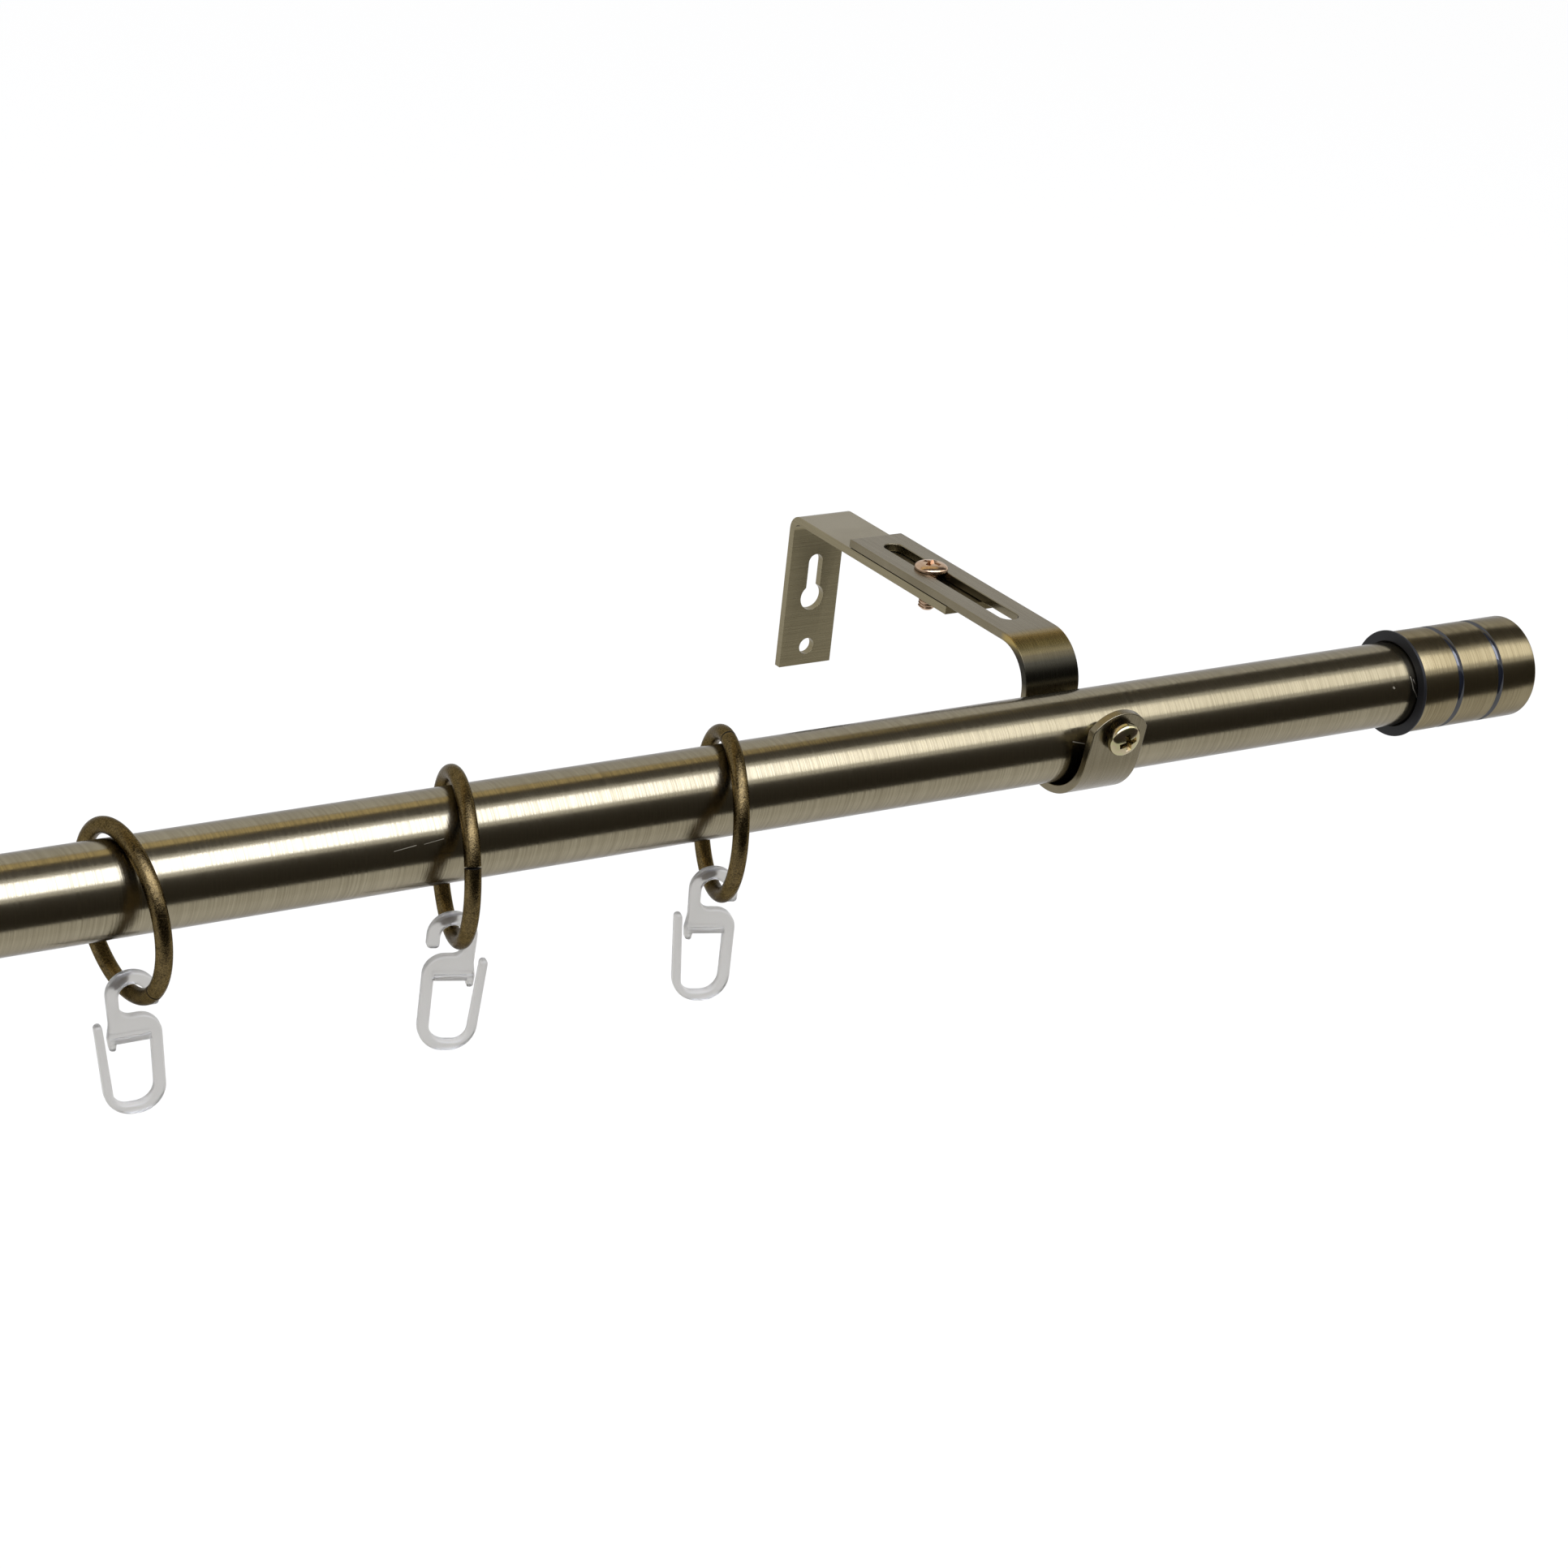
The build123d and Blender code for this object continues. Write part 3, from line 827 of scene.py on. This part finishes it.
for number, joint_angle in enumerate(ring_joint_angles, start=1):
    ring_low, ring_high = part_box(f"pole_ring_{number}")
    middle = (ring_low + ring_high) / 2
    swing = joints[f"hook_{number}_swing"]
    across = Vector(swing["axis"])
    up = (middle - Vector(swing["pos_m"])).normalized()
    ring_radius = (middle - Vector(swing["pos_m"])).length
    axes = Matrix((across, up, across.cross(up))).transposed()
    ring = placed(f"wire_ring_{number}", bpy.data.meshes.new(f"wire_ring_{number}"))
    bending = ring.modifiers.new("bent_ring", "NODES")
    bending.node_group = bent_ring
    bending[ring_inputs["Radius"]] = ring_radius
    bending[ring_inputs["Joint Start"]] = joint_angle
    bending[ring_inputs["Sweep"]] = 2 * pi - ring_joint_width / ring_radius
    bending[ring_inputs["Middle"]] = middle
    bending[ring_inputs["Turn"]] = axes.to_euler()
    bending[ring_inputs["Finish"]] = ring_bronze
    made = finished_mesh(ring)
    ring.modifiers.clear()
    ring.data = made
    made.shade_smooth()
    made.set_sharp_from_angle(angle=sharp_edge_angle)
    made.materials.append(painted_joint_shade)
    for face in made.polygons:
        is_wire_end = len(face.vertices) > 4
        face.material_index = 1 if is_wire_end else 0
    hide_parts(f"pole_ring_{number}")
    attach(ring, f"ring_{number}")


# Curtain hooks: clear plastic mouldings with an open eye that snaps over the ring wire.
# Below it are a block with a ribbed lower edge and a sprung loop for the curtain tape.
# Outline corners are x, y and rounding in millimetres from the middle of the ring wire.
hook_outline = (
    (-5.4, 4.8, 5.2),
    (5.4, 4.8, 5.4),
    (5.4, -3.2, 0.9),
    (2.7, -3.2, 0.9),
    (2.7, 2.1, 2.7),
    (-2.7, 2.1, 2.7),
    (-2.7, -4.9, 2.3),
    (5.6, -4.9, 4.6),
    (5.6, -27.05, 6.0),
    (-6.8, -27.05, 6.0),
    (-8.1, -6.05, 0.85),
    (-6.4, -6.05, 0.85),
    (-5.0, -24.8, 3.0),
    (3.2, -24.8, 3.9),
    (3.2, -10.5, 0.4),
    (-3.7, -10.5, 0.3),
    (-4.0, -12.3, 0.55),
    (-5.3, -12.0, 0.6),
    (-5.5, -9.6, 1.2),
    (-5.0, -6.5, 3.0),
)
hook_half_thickness = 1.2
hook_edge_round = 0.6
hook_corner_steps = 16
hook_weld_distance = 0.001
hook_sharp_angle = radians(50)
least_point_step = 0.01
millimetre = 0.001
rib_low = (-5.2, -10.5)
rib_high = (3.3, -9.0)
rib_half_thickness = 1.45
rib_edge_round = 0.25
hook_yaws = (radians(-11.7), radians(162.7), radians(-18.7))
hook_tilts = (radians(6.407), radians(1.407), radians(-0.093))


def softened(outline, steps):
    points = []
    befores = outline[-1:] + outline[:-1]
    afters = outline[1:] + outline[:1]
    for corner, before, after in zip(outline, befores, afters):
        spot = Vector(corner[:2])
        to_before = (Vector(before[:2]) - spot).normalized()
        to_after = (Vector(after[:2]) - spot).normalized()
        half = to_before.angle(to_after) / 2
        middle = spot + (to_before + to_after).normalized() * corner[2] / sin(half)
        start = spot + to_before * corner[2] / tan(half) - middle
        end = spot + to_after * corner[2] / tan(half) - middle
        first = atan2(start.y, start.x)
        sweep = (atan2(end.y, end.x) - first + pi) % (2 * pi) - pi
        for step in range(steps + 1):
            angle = first + sweep * step / steps
            point = middle + Vector((cos(angle), sin(angle))) * corner[2]
            if not points or (point - points[-1]).length > least_point_step:
                points.append(point)
    return points


hook_curve = bpy.data.curves.new("hook_outline", "CURVE")
hook_curve.dimensions = "2D"
hook_curve.fill_mode = "BOTH"
hook_curve.extrude = hook_half_thickness - hook_edge_round
hook_curve.bevel_depth = hook_edge_round
hook_curve.bevel_resolution = 4
hook_curve.offset = -hook_edge_round
outline_points = softened(hook_outline, hook_corner_steps)
hook_line = hook_curve.splines.new("POLY")
hook_line.points.add(len(outline_points) - 1)
for point, spot in zip(hook_line.points, outline_points):
    point.co = (spot.x, spot.y, 0, 1)
hook_line.use_cyclic_u = True
hook_flat = placed("hook_flat", hook_curve)
hook_form = bmesh.new()
hook_form.from_mesh(finished_mesh(hook_flat))
bmesh.ops.remove_doubles(hook_form, verts=hook_form.verts, dist=hook_weld_distance)
moulding = bpy.data.meshes.new("hook_moulding")
hook_form.to_mesh(moulding)
hook_form.free()
bpy.data.objects.remove(hook_flat)
rib_form = bmesh.new()
bmesh.ops.create_cube(rib_form, size=1)
for corner in rib_form.verts:
    corner.co.x = rib_high[0] if corner.co.x > 0 else rib_low[0]
    corner.co.y = rib_high[1] if corner.co.y > 0 else rib_low[1]
    corner.co.z *= 2 * rib_half_thickness
bmesh.ops.bevel(
    rib_form, geom=rib_form.edges[:], offset=rib_edge_round, segments=3, affect="EDGES", profile=0.5
)
rib_mesh = bpy.data.meshes.new("hook_rib")
rib_form.to_mesh(rib_mesh)
rib_form.free()
body = placed("hook_body", moulding)
rib = placed("hook_rib", rib_mesh)
joining = body.modifiers.new("rib", "BOOLEAN")
joining.operation = "UNION"
joining.solver = "EXACT"
joining.object = rib
moulding = finished_mesh(body)
bpy.data.objects.remove(body)
bpy.data.objects.remove(rib)
moulding.shade_smooth()
moulding.set_sharp_from_angle(angle=hook_sharp_angle)
moulding.materials.clear()
clear_plastic = bpy.data.materials.new("clear_plastic")
clear_plastic.use_nodes = True
clear_surface = clear_plastic.node_tree.nodes["Principled BSDF"]
clear_surface.inputs["Base Color"].default_value = (0.65, 0.635, 0.598, 1)
clear_surface.inputs["Roughness"].default_value = 0.28
clear_surface.inputs["IOR"].default_value = 1.42
clear_surface.inputs["Transmission Weight"].default_value = 0.82
moulding.materials.append(clear_plastic)
for number, (yaw, tilt) in enumerate(zip(hook_yaws, hook_tilts), start=1):
    ahead = Vector((cos(yaw), sin(yaw), 0))
    outwards = ahead.cross(Vector((0, 0, 1)))
    sideways = ahead * cos(tilt) + Vector((0, 0, sin(tilt)))
    turn = Matrix((sideways, outwards.cross(sideways), outwards)).transposed().to_4x4()
    eye = Matrix.Translation(joints[f"hook_{number}_swing"]["pos_m"])
    mesh = moulding.copy()
    mesh.name = f"clear_hook_{number}"
    mesh.transform(eye @ turn @ Matrix.Scale(millimetre, 4))
    hook = placed(f"clear_hook_{number}", mesh)
    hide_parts(f"curtain_hook_{number}")
    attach(hook, f"hook_{number}")


# Studio floor: a wide pale sheet laid well below the pole, which takes a faint shadow.
# Matt white paint; the metal and the clear plastic show its white too.
floor_drop = 0.3
floor_half = 12.0
floor_glow = 0.92


def white_when_seen(tree):
    rays = tree.nodes.new("ShaderNodeLightPath")
    seen_or_mirrored = tree.nodes.new("ShaderNodeMath")
    seen_or_mirrored.operation = "MAXIMUM"
    seen = tree.nodes.new("ShaderNodeMath")
    seen.operation = "MAXIMUM"
    tree.links.new(rays.outputs["Is Camera Ray"], seen_or_mirrored.inputs[0])
    tree.links.new(rays.outputs["Is Glossy Ray"], seen_or_mirrored.inputs[1])
    tree.links.new(seen_or_mirrored.outputs["Value"], seen.inputs[0])
    tree.links.new(rays.outputs["Is Transmission Ray"], seen.inputs[1])
    return seen.outputs["Value"]


def sheet(name, corners, finish_material):
    mesh = bpy.data.meshes.new(name)
    mesh.from_pydata(corners, [], [tuple(range(len(corners)))])
    mesh.materials.append(finish_material)
    made = placed(name, mesh)
    return made


floor_paint = bpy.data.materials.new("pale_floor")
floor_paint.use_nodes = True
tree = floor_paint.node_tree
tree.nodes.remove(tree.nodes["Principled BSDF"])
matt = tree.nodes.new("ShaderNodeBsdfDiffuse")
matt.inputs["Color"].default_value = (0.15, 0.15, 0.15, 1)
glow = tree.nodes.new("ShaderNodeEmission")
glow_level = tree.nodes.new("ShaderNodeMath")
glow_level.operation = "MULTIPLY"
glow_level.inputs[1].default_value = floor_glow
both = tree.nodes.new("ShaderNodeAddShader")
tree.links.new(white_when_seen(tree), glow_level.inputs[0])
tree.links.new(glow_level.outputs["Value"], glow.inputs["Strength"])
tree.links.new(matt.outputs["BSDF"], both.inputs[0])
tree.links.new(glow.outputs["Emission"], both.inputs[1])
tree.links.new(both.outputs["Shader"], tree.nodes["Material Output"].inputs["Surface"])
floor_level = cad_low.z - floor_drop
sheet(
    "pale_floor",
    [
        (-floor_half, -floor_half, floor_level),
        (floor_half, -floor_half, floor_level),
        (floor_half, floor_half, floor_level),
        (-floor_half, floor_half, floor_level),
    ],
    floor_paint,
)


# Studio light: a long soft box over the front of the pole, weaker towards the right.
# Dark cards in front and overhead keep the metal from going pale, and one card is warm.
# Each card edge is an angle round the pole in degrees and a distance from its axis.
room = bpy.data.worlds.new("room")
bpy.context.scene.world = room
room.use_nodes = True
tree = room.node_tree
room_light = tree.nodes["Background"]
room_light.inputs["Color"].default_value = (1, 1, 1, 1)
room_level = tree.nodes.new("ShaderNodeMapRange")
room_level.inputs["To Min"].default_value = 0.35
tree.links.new(white_when_seen(tree), room_level.inputs["Value"])
tree.links.new(room_level.outputs["Result"], room_light.inputs["Strength"])


def round_the_pole(x, angle, distance):
    out = distance * cos(radians(angle))
    above = distance * sin(radians(angle))
    return (x, pole_middle.y - out, pole_middle.z + above)


def card(name, x_ends, low_edge, high_edge, colour, glow=0.0):
    paint = bpy.data.materials.new(name)
    paint.use_nodes = True
    surface = paint.node_tree.nodes["Principled BSDF"]
    surface.inputs["Base Color"].default_value = (*colour, 1)
    surface.inputs["Roughness"].default_value = 1.0
    surface.inputs["Specular IOR Level"].default_value = 0.0
    surface.inputs["Emission Color"].default_value = (*colour, 1)
    surface.inputs["Emission Strength"].default_value = glow
    corners = [
        round_the_pole(x_ends[0], *low_edge),
        round_the_pole(x_ends[1], *low_edge),
        round_the_pole(x_ends[1], *high_edge),
        round_the_pole(x_ends[0], *high_edge),
    ]
    sheet(name, corners, paint).visible_camera = False


card(
    "front_card",
    x_ends=(-3.0, 5.0),
    low_edge=(-33, 0.3),
    high_edge=(31, 1.6),
    colour=(0.068, 0.06, 0.046),
)
card(
    "overhead_card",
    x_ends=(-3.0, 5.0),
    low_edge=(84, 1.7),
    high_edge=(128, 1.7),
    colour=(0.46, 0.42, 0.35),
)
card(
    "warm_card",
    x_ends=(-3.0, 1.05),
    low_edge=(110, 1.5),
    high_edge=(127, 1.5),
    colour=(0.95, 0.78, 0.42),
    glow=0.7,
)
box_angle = 58.0
box_distance = 1.6
box_depth = 0.94
for name, x_ends, radiance, tint in (
    ("soft_box", (-1.6, 1.03), 4.6, (1.0, 1.07, 1.32)),
    ("soft_box_middle", (1.03, 1.2), 2.6, (1.0, 1.0, 1.0)),
    ("soft_box_right", (1.2, 3.6), 1.52, (1.0, 1.0, 1.0)),
):
    lamp = bpy.data.lights.new(name, "AREA")
    lamp.shape = "RECTANGLE"
    lamp.size = x_ends[1] - x_ends[0]
    lamp.size_y = box_depth
    lamp.energy = radiance * pi * lamp.size * lamp.size_y
    lamp.color = tint
    box = placed(name, lamp)
    box.location = round_the_pole((x_ends[0] + x_ends[1]) / 2, box_angle, box_distance)
    box.rotation_euler = (radians(90 - box_angle), 0, 0)
    box.visible_camera = False


# Camera: stands in front of the left end, above the pole, and looks along it to the right.
# A long lens on a full-frame sensor, turned a little about its own line of sight.
camera_place = Vector((-0.388, -0.7798, 0.3677))
view_azimuth = radians(-35.555)
view_elevation = radians(22.948)
view_roll = radians(6.433)
back = Vector(
    (
        sin(view_azimuth) * cos(view_elevation),
        -cos(view_azimuth) * cos(view_elevation),
        sin(view_elevation),
    )
)
level_right = Vector((cos(view_azimuth), sin(view_azimuth), 0))
level_up = back.cross(level_right)
right = level_right * cos(view_roll) + level_up * sin(view_roll)
up = level_up * cos(view_roll) - level_right * sin(view_roll)
camera_data = bpy.data.cameras.new("camera")
camera_data.sensor_width = 36.0
camera_data.lens = 94.874
camera_data.clip_start = 0.05
camera_data.clip_end = 100.0
camera = placed("camera", camera_data)
camera_turn = Matrix((right, up, back)).transposed().to_4x4()
camera.matrix_world = Matrix.Translation(camera_place) @ camera_turn
bpy.context.scene.camera = camera
bpy.context.scene.view_settings.view_transform = "Standard"
